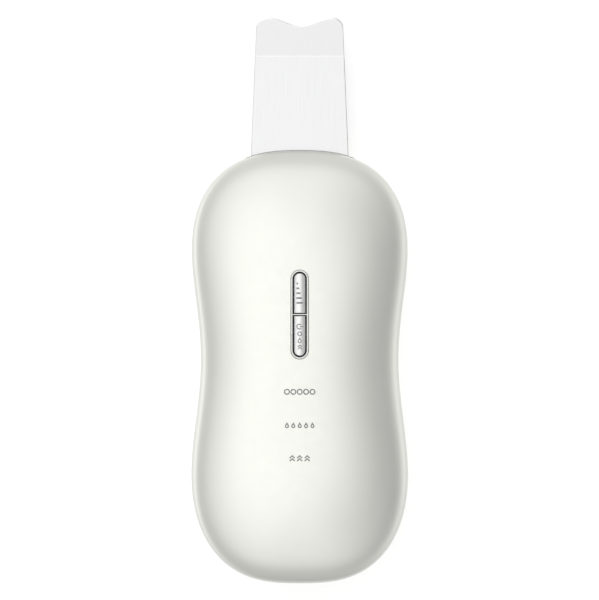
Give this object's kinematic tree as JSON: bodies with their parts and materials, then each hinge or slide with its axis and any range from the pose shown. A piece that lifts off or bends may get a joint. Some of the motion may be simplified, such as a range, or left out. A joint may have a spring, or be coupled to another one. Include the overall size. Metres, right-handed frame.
{
  "type": "ultrasonic skin scrubber",
  "caption": "Hand-held skin scrubber: a pinched white two-shell body with a bent steel spatula blade, two sprung keys in a slim frame, and its drive, battery and charging socket inside.",
  "frame": {"origin": "middle of the whole length, blade included, on the surface that the device lies on with its rear flat down", "axes": "+Z out of the front face with the keys, +Y from the body towards the blade, +X to the right seen from the front"},
  "size_m": [0.054, 0.1412, 0.0213],
  "materials": {
    "shell_white": "white moulded plastic, satin gloss, faintly warm",
    "frame_white": "white moulded plastic, gloss",
    "key_white": "white moulded plastic, satin",
    "seal_grey": "dark grey silicone, matte",
    "seal_dark": "black silicone, matte",
    "blade_steel": "finely polished stainless sheet",
    "plate_steel": "brushed stainless sheet",
    "socket_steel": "drawn steel shell, nickel plated",
    "hidden_steel": "zinc plated steel",
    "horn_aluminium": "turned aluminium",
    "piezo_ceramic": "fired piezo ceramic with silvered faces",
    "contact_brass": "stamped and plated brass",
    "copper_winding": "enamelled copper winding on ferrite",
    "battery_foil": "pouch foil, satin",
    "foam_grey": "adhesive foam",
    "board_green": "glass-fibre circuit board, green resist",
    "part_black": "black moulded plastic",
    "part_ivory": "ivory moulded plastic",
    "lamp_yellow": "clear lamp body over a yellow die",
    "block_white": "white reflective plastic",
    "lead_red": "red insulated wire",
    "lead_grey": "grey insulated wire"
  },
  "bodies": {
    "handset": {"front_shell": "shell_white", "rear_shell": "shell_white", "shell_gasket": "seal_grey", "blade": "blade_steel", "blade_seal": "seal_grey", "key_frame": "frame_white", "key_seal": "seal_dark", "level_switch": "part_black", "mode_switch": "part_black", "main_board": "board_green", "control_chips": "part_black", "indicator_lamps": "lamp_yellow", "light_block": "block_white", "driver_transformer": "copper_winding", "transducer_horn": "horn_aluminium", "front_piezo_ring": "piezo_ceramic", "rear_piezo_ring": "piezo_ceramic", "electrode_washers": "contact_brass", "back_mass": "hidden_steel", "clamp_bolt": "hidden_steel", "transducer_sleeve": "seal_grey", "battery": "battery_foil", "battery_pad": "foam_grey", "battery_plug": "part_ivory", "battery_lead": "lead_red", "transducer_lead": "lead_red", "charge_board": "board_green", "charge_socket": "socket_steel", "charge_tongue": "part_black", "charge_lead": "lead_grey", "contact_plate": "plate_steel", "contact_pin": "contact_brass", "board_screws": "hidden_steel", "charge_screws": "hidden_steel", "shell_screws": "hidden_steel"},
    "level_key": {"level_key": "key_white"},
    "mode_key": {"mode_key": "key_white"},
    "level_plunger": {"level_plunger": "part_ivory"},
    "mode_plunger": {"mode_plunger": "part_ivory"}
  },
  "joints": [
    {"name": "level_key_press", "type": "slide", "parent": "handset", "child": "level_key", "axis": [0, 0, -1], "range_m": [0, 0.00035], "stiffness_N_per_m": 4000},
    {"name": "mode_key_press", "type": "slide", "parent": "handset", "child": "mode_key", "axis": [0, 0, -1], "range_m": [0, 0.00035], "stiffness_N_per_m": 4000},
    {"name": "level_plunger_press", "type": "slide", "parent": "handset", "child": "level_plunger", "axis": [0, 0, -1], "range_m": [0, 0.00035]},
    {"name": "mode_plunger_press", "type": "slide", "parent": "handset", "child": "mode_plunger", "axis": [0, 0, -1], "range_m": [0, 0.00035]}
  ],
  "couplings": [
    {"joint": "level_plunger_press", "follows": "level_key_press", "ratio": 1},
    {"joint": "mode_plunger_press", "follows": "mode_key_press", "ratio": 1}
  ]
}
